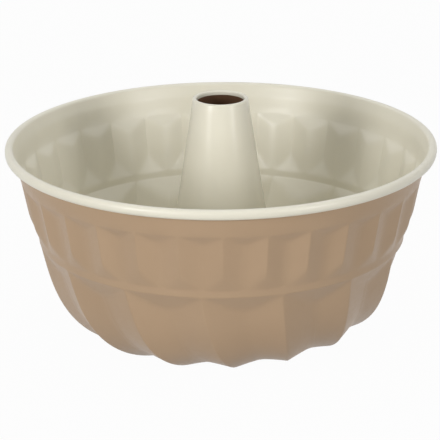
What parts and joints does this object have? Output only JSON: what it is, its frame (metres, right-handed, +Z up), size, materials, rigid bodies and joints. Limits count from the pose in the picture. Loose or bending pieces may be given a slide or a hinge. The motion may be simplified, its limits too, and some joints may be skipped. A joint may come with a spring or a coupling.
{
  "type": "tube pan",
  "caption": "Round fluted cake pan of coated sheet steel with a curled rim, swirled lower flutes and a tapered open tube in the middle that stands higher than the rim.",
  "frame": {"origin": "on the table, at the middle of the pan's underside", "axes": "+Z up along the axis of the tube; -Y towards the viewer of the picture; +X to the viewer's right"},
  "size_m": [0.2502, 0.2502, 0.1402],
  "materials": {
    "outer_coat": "satin tan coat on steel sheet",
    "lining": "semi-gloss cream non-stick coat",
    "tube_sheet": "satin tan coat on steel sheet",
    "tube_coat": "semi-gloss cream non-stick coat"
  },
  "bodies": {
    "root": {"pan_body": "outer_coat", "pan_lining": "lining", "centre_tube": "tube_sheet", "tube_lining": "tube_coat"}
  },
  "joints": []
}
